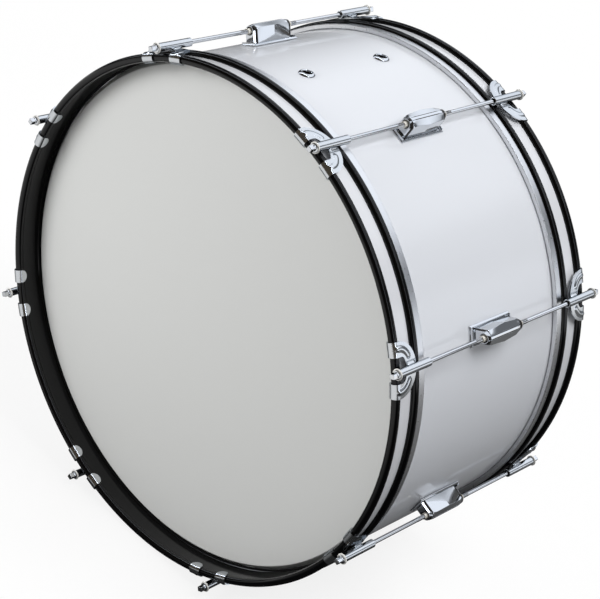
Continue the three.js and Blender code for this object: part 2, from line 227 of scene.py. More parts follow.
# Satin aluminium, rolled: a pale grey that blurs what it mirrors.
aluminium = finish("satin_aluminium", "#DFE0E2", grain=3, depth=0.004, rough=0.3, vary=0.03,
                   Metallic=1)
print("all finishes", len(bpy.data.materials))

# %% [markdown]
# ## Drawing a line and turning it
# Most of a drum is round about its axis. Such a piece could be put together from
# cylinders, but a section that is drawn point by point and spun round the axis gives one
# closed surface, with each edge where it was drawn. The line starts as one vertex, which
# is what is left of a small plane when its corners are merged. Small round parts, such as
# rods, are turned the same way about an axis of their own.

# %% Helpers for drawn and turned pieces
MERGE_WITHIN = 0.002


def new_vertex(name):
    """A new object whose mesh is one selected vertex, in edit mode."""
    deselect()
    bpy.ops.mesh.primitive_plane_add(size=MM, location=(0, 0, 0))
    piece = bpy.context.object
    piece.name = name
    bpy.ops.object.mode_set(mode="EDIT")
    bpy.ops.mesh.merge(type="CENTER")
    return piece


def draw(points):
    """Moves the vertex to the first point and extrudes it to the others."""
    bpy.ops.transform.translate(value=points[0])
    for here, there in zip(points, points[1:]):
        step = Vector(there) - Vector(here)
        bpy.ops.mesh.extrude_region_move(TRANSFORM_OT_translate={"value": step})


def merge_doubles(distance=MERGE_WITHIN):
    """Merges points that lie within a distance in mm."""
    bpy.ops.mesh.select_all(action="SELECT")
    bpy.ops.mesh.remove_doubles(threshold=distance * MM)


def smooth(piece, angle=30):
    """Shades a piece smooth, apart from edges sharper than an angle in degrees."""
    select_only(piece)
    bpy.ops.object.shade_smooth_by_angle(angle=math.radians(angle))


def turned(name, profile, steps, axis_radius=0, closed=True):
    """A piece spun from (radius, place along Y) points in mm, about a line along Y."""
    points = [(0, y * MM, (axis_radius + r) * MM) for r, y in profile]
    piece = new_vertex(name)
    draw(points + [points[0]] if closed else points)
    bpy.ops.mesh.select_all(action="SELECT")
    bpy.ops.mesh.spin(steps=steps, angle=math.tau, center=(0, 0, axis_radius * MM),
                      axis=(0, 1, 0), use_auto_merge=True)
    merge_doubles()
    bpy.ops.mesh.normals_make_consistent(inside=False)
    smooth(piece)
    return piece


def arc(center, radii, start, end, count):
    """Points on part of an ellipse, its angles in degrees from the first coordinate."""
    angles = [math.radians(start + (end - start) * i / count) for i in range(count + 1)]
    return [(center[0] + radii[0] * math.cos(a), center[1] + radii[1] * math.sin(a))
            for a in angles]


print("half way round a circle", arc((0, 0), (1, 1), 0, 180, 2)[1])

# %% [markdown]
# ## Putting pieces in their places
# A piece is made at the origin, where its shape is easy to write down, and then set on the drum's
# axis. It could be moved as an object, but its place has to be in its mesh, so the mesh is moved.
# What sits at a station is made once, at the top of the rear half, and copied to each station with
# a mesh of its own. Each piece then rides on its CAD body, gets its finish and hides the CAD node
# that it stands in for.

# %% Helpers for placing
STATIONS = 8
SIDES = {"rear": Matrix.Identity(4), "front": Matrix.Rotation(math.pi, 4, "Z")}
TO_AXIS = Matrix.Translation(AXIS)


def station_turn(k, side_name="rear"):
    """Turns a piece from the top of the rear half to a station on one side."""
    angle = math.tau * (k - 0.5) / STATIONS
    return TO_AXIS @ Matrix.Rotation(angle, 4, "Y") @ SIDES[side_name]


def settle(piece, material, body, node, place=TO_AXIS):
    """Puts a piece in place, gives it a finish and a body, and hides the node it stands in for."""
    piece.data.transform(place)
    piece.data.materials.clear()
    piece.data.materials.append(material)
    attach(piece, body)
    if node:
        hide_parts(node)


def copy_of(model, name):
    """A copy with its own mesh."""
    copy = model.copy()
    copy.data = model.data.copy()
    copy.name = name
    bpy.context.collection.objects.link(copy)
    return copy


def both_sides(model, base, material, node):
    """Copies a ring made for the rear to the rear and the front, and removes the model."""
    for side_name, flip in SIDES.items():
        settle(copy_of(model, f"{side_name}_{base}"), material, "drum", f"{side_name}_{node}",
               TO_AXIS @ flip)
    print(base, "faces", len(model.data.polygons))
    bpy.data.objects.remove(model)


print("first station at", math.degrees(math.tau * 0.5 / STATIONS), "degrees from the top")

# %% [markdown]
# ## Shell and wrap
# The shell is a tube of birch ply with a bearing edge at each end, and the wrap is a
# sheet of white plastic glued round it. Both are turned. The two vents go through both,
# and a round hole in a curved wall is hard to make by hand, so each hole is cut by a
# boolean with an upright cylinder.

# %% Shell and wrap
RING_STEPS = 256
SHELL_END, SLOPE_START, BEVEL_START = 150, 141.5, 148
SHELL_BORE, SHELL_OUT, EDGE_RADIUS = 322.3, 329.3, 324.3
WRAP_IN, WRAP_OUT, WRAP_END = 329.6, 330.2, 141.2
VENT_PLACE, VENT_HOLE = 68.8, 15
HOLE_STEPS, HOLE_LENGTH = 48, 30

shell = turned("ply_shell", [
    (SHELL_BORE, -BEVEL_START), (EDGE_RADIUS, -SHELL_END), (SHELL_OUT, -SLOPE_START),
    (SHELL_OUT, SLOPE_START), (EDGE_RADIUS, SHELL_END), (SHELL_BORE, BEVEL_START)], RING_STEPS)
wrap = turned("gloss_wrap", [
    (WRAP_IN, -WRAP_END), (WRAP_OUT, -WRAP_END), (WRAP_OUT, WRAP_END), (WRAP_IN, WRAP_END)],
    RING_STEPS)
for piece in (shell, wrap):
    for place in (-VENT_PLACE, VENT_PLACE):
        deselect()
        bpy.ops.mesh.primitive_cylinder_add(
            vertices=HOLE_STEPS, radius=VENT_HOLE / 2 * MM, depth=HOLE_LENGTH * MM,
            location=(0, place * MM, SHELL_OUT * MM))
        cutter = bpy.context.object
        modify(piece, "BOOLEAN", object=cutter, operation="DIFFERENCE", solver="EXACT")
        bpy.data.objects.remove(cutter)
    smooth(piece)
settle(shell, birch, "drum", "shell")
settle(wrap, wrap_pvc, "drum", "shell_wrap")
print("wrap faces", len(wrap.data.polygons))

# %% [markdown]
# ## Heads
# A head is one film: flat over the bearing edge, then bent down into a collar and a skirt
# that hangs beside the shell. It could be a disc and a ring, but as one turned piece it
# has the small curve at the bend that catches the light.

# %% Head film
HEAD_IN, HEAD_OUT = 150.3, 150.6
BEND_IN, SKIRT_IN, SKIRT_OUT = 324.6, 330.5, 330.8
COLLAR_END, SKIRT_END = 141.1, 133.1
BEND_RADIUS, BEND_BACK, BEND_STOP, BEND_STEPS = 2.2, 1.4, 36, 6
# The film's inner face leaves the flat a little before the bend, clear of the edge.
EDGE_RUN, EDGE_DROP = 0.6, 0.35

bend = arc((BEND_IN - BEND_BACK, HEAD_OUT - BEND_RADIUS), (BEND_RADIUS, BEND_RADIUS),
           90, BEND_STOP, BEND_STEPS)
head = turned("head_film", [
    (0, HEAD_IN), (BEND_IN - EDGE_RUN, HEAD_IN), (BEND_IN, HEAD_IN - EDGE_DROP),
    (SKIRT_IN, COLLAR_END), (SKIRT_IN, SKIRT_END), (SKIRT_OUT, SKIRT_END),
    (SKIRT_OUT, COLLAR_END)] + bend[::-1] + [(0, HEAD_OUT)], RING_STEPS, closed=False)
both_sides(head, "head_film", pet_film, "head")

# %% [markdown]
# ## Flesh hoops
# An aluminium flesh hoop holds the skirt of each head. It is a plain bar, so it is turned
# from a rectangle, and a bevel modifier rounds its edges more evenly than drawn corners.

# %% Flesh hoop
FLESH_IN, FLESH_OUT, FLESH_END, FLESH_ROUND = 331.1, 337.1, 130.7, 0.8


def bevel_edges(piece, width, segments=3, angle=35):
    """Rounds the edges of a piece and keeps the faces between them looking flat."""
    modify(piece, "BEVEL", width=width * MM, segments=segments, limit_method="ANGLE",
           angle_limit=math.radians(angle))
    smooth(piece)
    modify(piece, "WEIGHTED_NORMAL", keep_sharp=True)


flesh = turned("flesh_ring", [
    (FLESH_IN, FLESH_END), (FLESH_OUT, FLESH_END), (FLESH_OUT, COLLAR_END),
    (FLESH_IN, COLLAR_END)], RING_STEPS)
bevel_edges(flesh, FLESH_ROUND)
both_sides(flesh, "flesh_ring", aluminium, "flesh_hoop")

# %% [markdown]
# ## Hoops
# The hoop is sheet steel with a round bead rolled along each edge. Two rings and a band
# would meet in seams, so the section is one outline instead, with true arcs for the beads
# and a flat wall between them. The angle at which the wall meets a bead follows from
# their radii.

# %% Hoops
BEAD_RADIUS, BEAD_CIRCLE, BEAD_STEPS = 5.3, 335.5, 28
BEAD_IN, BEAD_OUT = 146.7, 179.6
WALL_IN, WALL_OUT = 331.8, 333.3

wall_in_angle = math.degrees(math.acos((WALL_IN - BEAD_CIRCLE) / BEAD_RADIUS))
wall_out_angle = math.degrees(math.acos((WALL_OUT - BEAD_CIRCLE) / BEAD_RADIUS))
bead_radii = (BEAD_RADIUS, BEAD_RADIUS)
outer_bead = arc((BEAD_CIRCLE, BEAD_OUT), bead_radii, -wall_out_angle, 360 - wall_in_angle,
                 BEAD_STEPS)
inner_bead = arc((BEAD_CIRCLE, BEAD_IN), bead_radii, wall_in_angle - 360, wall_out_angle,
                 BEAD_STEPS)
hoop = turned("rolled_hoop", outer_bead + inner_bead, RING_STEPS)
both_sides(hoop, "rolled_hoop", enamel, "hoop")

# %% [markdown]
# ## Inlays
# The inlay is a plastic strip glued on the wall between the beads. It could be a white
# band in the hoop's material, but the real strip stands out of the wall and its edges
# catch the light. So it is a turned piece of its own, with a fine bevel.

# %% Inlays
INLAY_IN, INLAY_OUT, INLAY_START, INLAY_END = 333.605, 334.805, 152.3, 174.0
INLAY_ROUND = 0.3

inlay = turned("inlay_strip", [
    (INLAY_IN, INLAY_START), (INLAY_OUT, INLAY_START), (INLAY_OUT, INLAY_END),
    (INLAY_IN, INLAY_END)], RING_STEPS)
bevel_edges(inlay, INLAY_ROUND, segments=2)
both_sides(inlay, "inlay_strip", inlay_pvc, "hoop_inlay")

# %% [markdown]
# ## Vents
# A vent lets air out when a head is struck. It is a chrome eyelet: a domed flange outside, a tube
# through the wall and a curl that grips it inside. It is turned about its own axis, which points
# straight up at the top of the drum, so it is drawn lying along Y and then stood up. The inside of
# the tube lies in shade, so a thin dark lining is laid in it as painted shade. That is simpler than
# a material that darkens only there.

# %% Vents
VENT_STEPS = 64
VENT_BORE, VENT_TUBE, VENT_CURL, VENT_FLANGE = 5.6, 7.2, 9.5, 10.4
VENT_END, VENT_TOP = 319.8, 333.2
FLANGE_BACK, CURL_HIGH, CURL_LOW = WRAP_OUT + 0.2, SHELL_BORE - 0.4, SHELL_BORE - 1.2
# How far the dome's points lie outward of the bore and below the top, and the flange's
# points inward of its rim and below the top.
DOME = ((0, 2.0), (0.25, 0.9), (0.9, 0.2), (1.7, 0), (2.7, 0.3))
FLANGE_EDGE = ((1.2, 1.2), (0.4, 1.8), (0, 2.6))
CURL_EASE, CURL_BACK, CURL_RISE = 0.1, 0.4, 0.8
BORE_SHADE_IN, BORE_SHADE_OUT = VENT_BORE - 0.2, VENT_BORE - 0.08
BORE_SHADE_START, BORE_SHADE_END = VENT_END + 0.1, VENT_TOP - 2.2
STAND_UP = Matrix.Rotation(math.pi / 2, 4, "X")

vent = turned("vent_eyelet", [
    (VENT_BORE, VENT_END), *[(VENT_BORE + out, VENT_TOP - down) for out, down in DOME],
    *[(VENT_FLANGE - back, VENT_TOP - down) for back, down in FLANGE_EDGE],
    (VENT_TUBE, FLANGE_BACK), (VENT_TUBE, CURL_HIGH + CURL_EASE), (VENT_CURL, CURL_HIGH),
    (VENT_CURL, CURL_LOW), (VENT_TUBE - CURL_BACK, VENT_END + CURL_RISE)], VENT_STEPS)
# The lining is painted shade: a dark sheet in the tube, where shade falls.
bore_shade = turned("vent_bore_shade", [
    (BORE_SHADE_IN, BORE_SHADE_START), (BORE_SHADE_OUT, BORE_SHADE_START), (BORE_SHADE_OUT, BORE_SHADE_END),
    (BORE_SHADE_IN, BORE_SHADE_END)], VENT_STEPS)
for model, material in ((vent, chrome), (bore_shade, recess_shade)):
    for side_name, way in (("rear", 1), ("front", -1)):
        place = TO_AXIS @ Matrix.Translation((0, way * VENT_PLACE * MM, 0)) @ STAND_UP
        node = f"{side_name}_vent" if model == vent else None
        settle(copy_of(model, f"{side_name}_{model.name}"), material, "drum", node,
               place)
    print(model.name, "faces", len(model.data.polygons))
    bpy.data.objects.remove(model)

# %% [markdown]
# ## Lugs
# A lug is a chromed casting that holds the nuts of two rods. Its body has a straight
# foot, shoulders that swell to a crease at mid-length, and a narrow raised strip between
# two grooves along the top. At each end a bevelled band leads to an arched face round the
# bore. A subdivided cube would blur those creases, so the body is a skin pulled over
# cross sections. First comes the body's section at any place along it. Only its left half
# is worked out, from the foot up to the strip, and the rest is that half mirrored.

# %% Sections of the lug's body
ROD, DECK = 348.3, 332.7
FOOT_HALF, FOOT_SWELL, SHOULDER_HALF = 9.2, 0.8, 11.7
STRIP_HALF, STRIP_RISE, STRIP_CROWN = 1.6, 0.3, 0.05
GROOVE_WIDTH, GROOVE_DEPTH = 1.0, 1.1
STRIP_TOP, SHOULDER_TOP = 356.3, 352.8
BODY_HALF, ROUND_START, ARCH_HALF, LUG_END = 28.8, 21.5, 6.7, 34.0
BORE, BORE_START, BORE_RIM = 5.6, 14, 0.25
SHOULDER_DROP, TOP_DROP, SHOULDER_BULGE = 3.4, 0.8, 1.6
SIDE_STEPS, SHOULDER_STEPS, ARCH_STEPS = 4, 5, 8


def mirrored(half):
    """A whole section from its left half, bottom to top."""
    return half + [(-x, z) for x, z in reversed(half)]


def body_section(along):
    """The body's outline at a place along the lug. Near the end its top falls away."""
    t = abs(along) / BODY_HALF
    side_x = FOOT_HALF + (SHOULDER_HALF - FOOT_HALF) * (1 - t)
    foot_x = FOOT_HALF + FOOT_SWELL * (1 - t)
    late = max(0, (abs(along) - ROUND_START) / (BODY_HALF - ROUND_START))
    fall = 1 - math.sqrt(1 - late * late)
    top = STRIP_TOP - TOP_DROP * fall
    shoulder = SHOULDER_TOP - SHOULDER_DROP * fall
    half = []
    for i in range(SIDE_STEPS + 1):
        f = i / SIDE_STEPS
        half.append((-foot_x - (side_x - foot_x) * f, DECK + (shoulder - DECK) * f))
    edge_x, edge_z = STRIP_HALF + GROOVE_WIDTH, top - STRIP_RISE
    for i in range(1, SHOULDER_STEPS):
        f = i / SHOULDER_STEPS
        bulge = fall * SHOULDER_BULGE * math.sin(math.pi * f)
        half.append((-side_x + (side_x - edge_x) * f, shoulder + (edge_z - shoulder) * f + bulge))
    half += [(-edge_x, edge_z), (-STRIP_HALF - GROOVE_WIDTH / 2, edge_z - GROOVE_DEPTH),
             (-STRIP_HALF, top), (-STRIP_HALF / 2, top + STRIP_CROWN)]
    return mirrored(half)


print("points in a body section", len(body_section(0)))

# %% [markdown]
# Next come the end face and the bore. Their sections have as many points as the body's,
# in the same order, so that every point has a partner in the next section. The list of
# sections then runs from the bore at one end, over the outside, to the bore at the other.

# %% Sections of the end face and the bore
def arch_section():
    """The end face's outline: straight sides and a round top about the rod's axis."""
    half = [(-ARCH_HALF, DECK + (ROD - DECK) * i / SIDE_STEPS) for i in range(SIDE_STEPS + 1)]
    for i in range(1, ARCH_STEPS + 1):
        a = math.radians(180 - 90 * i / (ARCH_STEPS + 0.5))
        half.append((ARCH_HALF * math.cos(a), ROD + ARCH_HALF * math.sin(a)))
    return mirrored(half)


def bore_section(radius):
    """A circle about the rod's axis with a point for each point of the arch."""
    ring = []
    for x, z in arch_section():
        away = Vector((x, z - ROD)).normalized() * radius
        ring.append((away.x, ROD + away.y))
    return ring


def at_place(section, along):
    """A section's points in metres, at a place along the lug."""
    return [Vector((x * MM, along * MM, z * MM)) for x, z in section]


def other_end(section):
    """The same section at the lug's other end."""
    return [Vector((p.x, -p.y, p.z)) for p in section]


BODY_PLACES = (BODY_HALF, 28.5, 27.9, 26.9, 25.5, 23.7, ROUND_START, 18, 14.5, 11, 7, 3.5, 0)
lug_sections = [at_place(bore_section(BORE), BORE_START),
                at_place(bore_section(BORE), LUG_END - BORE_RIM),
                at_place(bore_section(BORE + BORE_RIM), LUG_END),
                at_place(arch_section(), LUG_END)]
lug_sections += [at_place(body_section(a), a) for a in BODY_PLACES]
lug_sections += [other_end(s) for s in lug_sections[-2::-1]]
print("lug sections", len(lug_sections), "of", len(lug_sections[0]), "points")

# %% [markdown]
# The skin starts as one closed loop of edges, drawn on the first section. Extruding it in
# place and then carrying the new points to the next section gives one ring of faces, and
# so on to the last. There the two loops are bridged inside the bore. The crease at
# mid-length is marked sharp, and the sharper edges get a narrow bevel that catches light.

# %% Skin of the lug
LUG_ROUND, LUG_ROUND_ANGLE = 0.2, 24
AT_MIDDLE = 0.01


def skin(name, sections, ends="open"):
    """Extrudes a loop from section to section. Its ends are bridged, filled or open."""
    piece = new_vertex(name)
    draw(sections[0] + [sections[0][0]])
    merge_doubles()
    for here, there in zip(sections, sections[1:]):
        bpy.ops.mesh.extrude_region_move(TRANSFORM_OT_translate={"value": (0, 0, 0)})
        mesh = bmesh.from_edit_mesh(piece.data)
        for vertex in [v for v in mesh.verts if v.select]:
            nearest = min(range(len(here)), key=lambda i: (here[i] - vertex.co).length)
            vertex.co = there[nearest]
        bmesh.update_edit_mesh(piece.data)
    bpy.ops.mesh.select_all(action="DESELECT")
    bpy.ops.mesh.select_mode(type="EDGE")
    bpy.ops.mesh.select_non_manifold(extend=False, use_wire=False, use_boundary=True,
                                     use_multi_face=False, use_non_contiguous=False,
                                     use_verts=False)
    if ends == "bridged":
        bpy.ops.mesh.bridge_edge_loops()
    elif ends == "filled":
        bpy.ops.mesh.edge_face_add()
    bpy.ops.mesh.select_mode(type="VERT")
    merge_doubles()
    bpy.ops.mesh.normals_make_consistent(inside=False)
    return piece


lug_body = skin("lug_body", lug_sections, ends="bridged")
mesh = bmesh.from_edit_mesh(lug_body.data)
for edge in mesh.edges:
    at_middle = all(abs(v.co.y) < AT_MIDDLE * MM for v in edge.verts)
    edge.select = at_middle and all(abs(v.co.x) > BORE * MM for v in edge.verts)
bmesh.update_edit_mesh(lug_body.data)
bpy.ops.mesh.select_mode(type="EDGE")
bpy.ops.mesh.mark_sharp()
bpy.ops.mesh.select_mode(type="VERT")
bevel_edges(lug_body, LUG_ROUND, segments=2, angle=LUG_ROUND_ANGLE)
print("lug body faces", len(lug_body.data.polygons))

# %% [markdown]
# The lug stands on a plate: a rectangle with a stepped edge along its sides and a raised
# lip at each short end. A cube is flattened to the plate, and its top face is inset and
# raised for the step, then inset and sunk a little, just as one would by hand. Two more
# flattened cubes make the lips, because an inset makes all four sides alike.

# %% Plate under the lug
PLATE_HALF_LENGTH, PLATE_HALF_WIDTH, PLATE_FOOT, PLATE_THICK = 38.5, 13.5, 330.5, 0.9
STEP_WIDTH, STEP_RISE, DISH_WIDTH, DISH_DEPTH = 2.2, 1.6, 0.5, 0.9
PLATE_ROUND, PLATE_ROUND_ANGLE = 0.25, 20
LIP_HALF_WIDTH, LIP_START, LIP_END, LIP_ROUND = 11.3, 36.2, 37.4, 0.35
LIP_LOW, LIP_HIGH = PLATE_FOOT + 1, PLATE_FOOT + 4.2
LOOKS_UP = 0.9


def slab(name, low, high):
    """A cube stretched between two corners in mm."""
    low, high = Vector(low) * MM, Vector(high) * MM
    deselect()
    bpy.ops.mesh.primitive_cube_add(size=1, location=(low + high) / 2, scale=high - low)
    piece = bpy.context.object
    piece.name = name
    bpy.ops.object.transform_apply(location=True, rotation=True, scale=True)
    return piece


plate = slab("lug_plate", (-PLATE_HALF_WIDTH, -PLATE_HALF_LENGTH, PLATE_FOOT),
             (PLATE_HALF_WIDTH, PLATE_HALF_LENGTH, PLATE_FOOT + PLATE_THICK))
bpy.ops.object.mode_set(mode="EDIT")
bpy.ops.mesh.select_mode(type="FACE")
bpy.ops.mesh.select_all(action="DESELECT")
mesh = bmesh.from_edit_mesh(plate.data)
for face in mesh.faces:
    face.select_set(face.normal.z > LOOKS_UP)
bmesh.update_edit_mesh(plate.data)
bpy.ops.mesh.inset(thickness=STEP_WIDTH * MM, depth=STEP_RISE * MM)
bpy.ops.mesh.inset(thickness=DISH_WIDTH * MM, depth=-DISH_DEPTH * MM)
bpy.ops.mesh.select_mode(type="VERT")
bevel_edges(plate, PLATE_ROUND, segments=2, angle=PLATE_ROUND_ANGLE)
lips = [slab(f"lip_{i}", (-LIP_HALF_WIDTH, start, LIP_LOW), (LIP_HALF_WIDTH, end, LIP_HIGH))
        for i, (start, end) in enumerate(((-LIP_END, -LIP_START), (LIP_START, LIP_END)))]
for lip in lips:
    bevel_edges(lip, LIP_ROUND, segments=2)
print("plate", 2 * PLATE_HALF_LENGTH, "by", 2 * PLATE_HALF_WIDTH, "mm")

# %% [markdown]
# Two screws hold the lug to the shell, with their heads inside. They could have a thread
# and a slot, but they hardly show, so each is one plain turned piece, drawn lying like
# the vents and stood up. All these are joined into one piece, as the CAD model has one
# node for a lug with its screws.

# %% Screws, and the whole lug
SCREW_STEPS, SCREW_PLACE = 24, 23
SCREW_LOW, SCREW_SEAT, SCREW_HIGH = 319, 322, 331
SCREW_HEAD, SCREW_SHANK = 6.5, 2.5
SCREW_ROUND, SCREW_ROUND_RISE, SCREW_EASE = 1.3, 1.2, 0.1


def join(main, *others):
    """Joins other pieces into the first."""
    select_only(main)
    for piece in others:
        piece.select_set(True)
    bpy.ops.object.join()
    return main


screw = turned("screw", [
    (0, SCREW_LOW), (SCREW_HEAD - SCREW_ROUND, SCREW_LOW),
    (SCREW_HEAD, SCREW_LOW + SCREW_ROUND_RISE), (SCREW_HEAD, SCREW_SEAT - SCREW_EASE),
    (SCREW_SHANK, SCREW_SEAT), (SCREW_SHANK, SCREW_HIGH), (0, SCREW_HIGH)],
    SCREW_STEPS, closed=False)
screw.data.transform(STAND_UP)
screws = []
for i, place in enumerate((-SCREW_PLACE, SCREW_PLACE)):
    screws.append(copy_of(screw, f"lug_screw_{i}"))
    screws[i].data.transform(Matrix.Translation((0, place * MM, 0)))
bpy.data.objects.remove(screw)
lug = join(lug_body, plate, *lips, *screws)
print("lug faces", len(lug.data.polygons))

# %% [markdown]
# A real lug shows dark lines of shade in the bevelled band at each end and in the two grooves on
# top. A material could be darkened there, but its nodes would have to find the places. Thin dark
# strips of painted shade, laid where the lines are, are simpler and stay crisp: two more skins for
# the bands, and two slabs in the grooves.

# %% Painted shade in the recesses, and the lugs in their places
DARK_THICK, BAND_BACK = 0.16, 0.3
GROOVE_SHADE_HALF, GROOVE_SHADE_DEPTH, GROOVE_SHADE_DOWN = 0.36, 0.4, 0.15

# The bands and groove slabs are painted shade: dark strips where shade falls in the recesses.
band = (at_place(arch_section(), LUG_END - BAND_BACK),
        at_place(body_section(BODY_HALF), BODY_HALF))
dark = [skin("end_band_shade", band), skin("end_band_shade_2", [other_end(s) for s in band])]
for piece in dark:
    smooth(piece)
groove_shade_top = STRIP_TOP - STRIP_RISE - GROOVE_SHADE_DOWN
groove_middle = STRIP_HALF + GROOVE_WIDTH / 2
for x in (-groove_middle, groove_middle):
    low = (x - GROOVE_SHADE_HALF, -ROUND_START, groove_shade_top - GROOVE_SHADE_DEPTH)
    dark.append(slab("groove_shade", low, (x + GROOVE_SHADE_HALF, ROUND_START, groove_shade_top)))
shade_lines = join(*dark)
modify(shade_lines, "SOLIDIFY", thickness=DARK_THICK * MM, offset=0)
for k in range(1, STATIONS + 1):
    settle(copy_of(shade_lines, f"lug_recess_{k}"), recess_shade, "drum", None,
           station_turn(k))
    settle(copy_of(lug, f"lug_casting_{k}"), chrome, "drum", f"lug_{k}",
           station_turn(k))
print("dark line faces", len(shade_lines.data.polygons))
bpy.data.objects.remove(lug)
bpy.data.objects.remove(shade_lines)

# %% [markdown]
# ## Swivel nuts
# Each end of a lug holds a nut whose rounded nose stands out of the bore, and a sprung
# sleeve runs between the two inside. Three pieces would be nearer to the real thing, but
# only the noses show and all of it is round about the rod, so one turned piece makes both
# nuts and the sleeve. Half its outline is written, and the other half is mirrored from it.

# %% Swivel nuts
NUT_STEPS = 32
NUT_BORE, NOSE, NUT_OUT, SLEEVE = 3.2, 4.0, 5.2, 4.2
NUT_FRONT, NUT_BACK, NUT_SLOPE, NOSE_END = 22, 26, 1, 39
# How far the nose's rounded points lie inside it and short of its end.
NOSE_ROUND = ((0.5, 0), (0.15, 0.35), (0, 1))

nose = [(NUT_BORE, NOSE_END), *[(NOSE - inside, NOSE_END - short) for inside, short in NOSE_ROUND],
        (NOSE, NUT_BACK + NUT_SLOPE), (NUT_OUT, NUT_BACK), (NUT_OUT, NUT_FRONT),
        (SLEEVE, NUT_FRONT - NUT_SLOPE)]
nuts = turned("nut_pair", nose + [(r, -y) for r, y in reversed(nose)], NUT_STEPS, ROD)
for k in range(1, STATIONS + 1):
    settle(copy_of(nuts, f"nut_pair_{k}"), nickel, "drum", f"swivel_nuts_{k}",
           station_turn(k))
print("nut pair", 2 * NOSE_END, "mm long")
bpy.data.objects.remove(nuts)

# %% [markdown]
# ## Tension rods
# A rod is a long bolt: a thin shank with a thread only near its tip, a round collar, and
# a square head for the drum key. The round parts are one turned outline. The head isn't
# round, so it is a cube stretched to size, with its edges bevelled. The nylon washer
# between the collar and the claw's barrel is turned too.

# %% Shank, head and washer
ROD_STEPS, WASHER_STEPS = 32, 40
SEAT, ROD_TIP, THREAD_END, KEY_END = 190.3, 17.0, 50.0, 201.1
TIP, CORE, SHANK, COLLAR, KEY_HALF, KEY_ROUND = 2.0, 2.45, 2.75, 5.6, 3.2, 0.6
TIP_RISE, CORE_RUNOUT = 0.8, 1.5
COLLAR_LOW, KEY_LOW = SEAT + 1.2, SEAT + 4
# The collar's points, as how far inside its rim and above its foot they lie, and the
# points at the root of the head, as how far outside its half width and above that foot.
COLLAR_ROUND = ((0.2, 0), (0, 0.2), (0, 1.0), (0.4, 1.3))
KEY_ROOT = ((0.4, 1.5), (0, 2.2), (0, 3.2))
WASHER_BORE, WASHER_OUT, WASHER_THICK = 2.9, 7.0, 1.3
WASHER_ROUND = ((0.4, 0), (0, 0.35), (0, WASHER_THICK - 0.3), (0.4, WASHER_THICK))

shank = turned("shank", [
    (0, ROD_TIP), (TIP, ROD_TIP), (CORE, ROD_TIP + TIP_RISE), (CORE, THREAD_END - CORE_RUNOUT),
    (SHANK, THREAD_END), (SHANK, COLLAR_LOW),
    *[(COLLAR - inside, COLLAR_LOW + up) for inside, up in COLLAR_ROUND],
    *[(KEY_HALF + outside, COLLAR_LOW + up) for outside, up in KEY_ROOT],
    (0, COLLAR_LOW + KEY_ROOT[-1][1])], ROD_STEPS, ROD, closed=False)
key = slab("key", (-KEY_HALF, KEY_LOW, ROD - KEY_HALF), (KEY_HALF, KEY_END, ROD + KEY_HALF))
bevel_edges(key, KEY_ROUND)
washer = turned("washer", [
    (WASHER_BORE, SEAT), *[(WASHER_OUT - inside, SEAT + up) for inside, up in WASHER_ROUND],
    (WASHER_BORE, SEAT + WASHER_THICK)], WASHER_STEPS, ROD)
print("shank", 2 * SHANK, "mm thick, key", 2 * KEY_HALF, "mm square")

# %% [markdown]
# A thread could be a bump in the material, but its edge would stay smooth. Here it is a
# ridge: the outline of one pitch is drawn, and a screw modifier winds it round the Y
# axis. So it is made there and then lifted to the rod's axis. Its two open ends are
# filled, which closes it.

# %% Thread, and the rods in their places
THREAD_ROOT, THREAD_CREST, PITCH, THREAD_STEPS = 2.4, 2.95, 1.0, 20
THREAD_START, RIDGE_MERGE = ROD_TIP + PITCH, 0.01
# The ridge's outline: places along one pitch, as shares of it, at root or crest.
RIDGE_SHARES = ((THREAD_ROOT, 0), (THREAD_CREST, 0.35), (THREAD_CREST, 0.6),
                (THREAD_ROOT, 0.95), (THREAD_ROOT, 1))

ridge = new_vertex("ridge")
draw([(0, (THREAD_START + share * PITCH) * MM, r * MM) for r, share in RIDGE_SHARES])
modify(ridge, "SCREW", axis="Y", steps=THREAD_STEPS, render_steps=THREAD_STEPS,
       screw_offset=PITCH * MM, iterations=int((THREAD_END - THREAD_START) / PITCH),
       use_merge_vertices=True)
ridge.data.transform(Matrix.Translation((0, 0, ROD * MM)))
bpy.ops.object.mode_set(mode="EDIT")
merge_doubles(RIDGE_MERGE)
bpy.ops.mesh.fill_holes(sides=0)
bpy.ops.mesh.normals_make_consistent(inside=False)
smooth(ridge)
rod = join(shank, key, ridge)
for side_name in SIDES:
    for k in range(1, STATIONS + 1):
        body = f"{side_name}_rod_{k}"
        place = station_turn(k, side_name)
        settle(copy_of(rod, f"{side_name}_tension_rod_{k}"), rod_chrome, body, body,
               place)
        settle(copy_of(washer, f"{side_name}_washer_{k}"), nylon, body, None, place)
print("rod faces", len(rod.data.polygons))
bpy.data.objects.remove(rod)
bpy.data.objects.remove(washer)

# %% [markdown]
# ## Claws
# A claw is stamped from sheet: a half-moon plate with a window toward the rim, two arms
# that wrap the hoop's outer bead and end in small round tabs, and a pressed rib on each
# lobe. It could be cut from a bent block, but it keeps the look of sheet if it is made as
# the real one is: drawn flat, cut out, pressed and bent. First its outline is drawn flat,
# across the drum in X and along it in Y, and filled with one face.

# %% Flat outline of the claw
PLATE_TIP, PLATE_IN, SHEET = 151.8, 341.1, 1.6
CLAW_HALF, ARM, HOOK, TAB = 33.5, 18.0, 5.6, 5.8
TAB_LEAD, WINDOW_LEAD = 2, 4
RIM = BEAD_OUT - PLATE_TIP
AROUND = RIM + math.pi * HOOK
TAB_START, TAB_END = AROUND - TAB_LEAD, AROUND + TAB
WINDOW_HALF, WINDOW_LOW, WINDOW_START = CLAW_HALF - ARM, 16.0, RIM - WINDOW_LEAD
MOON_STEPS, TAB_STEPS, WINDOW_STEPS = 40, 24, 16

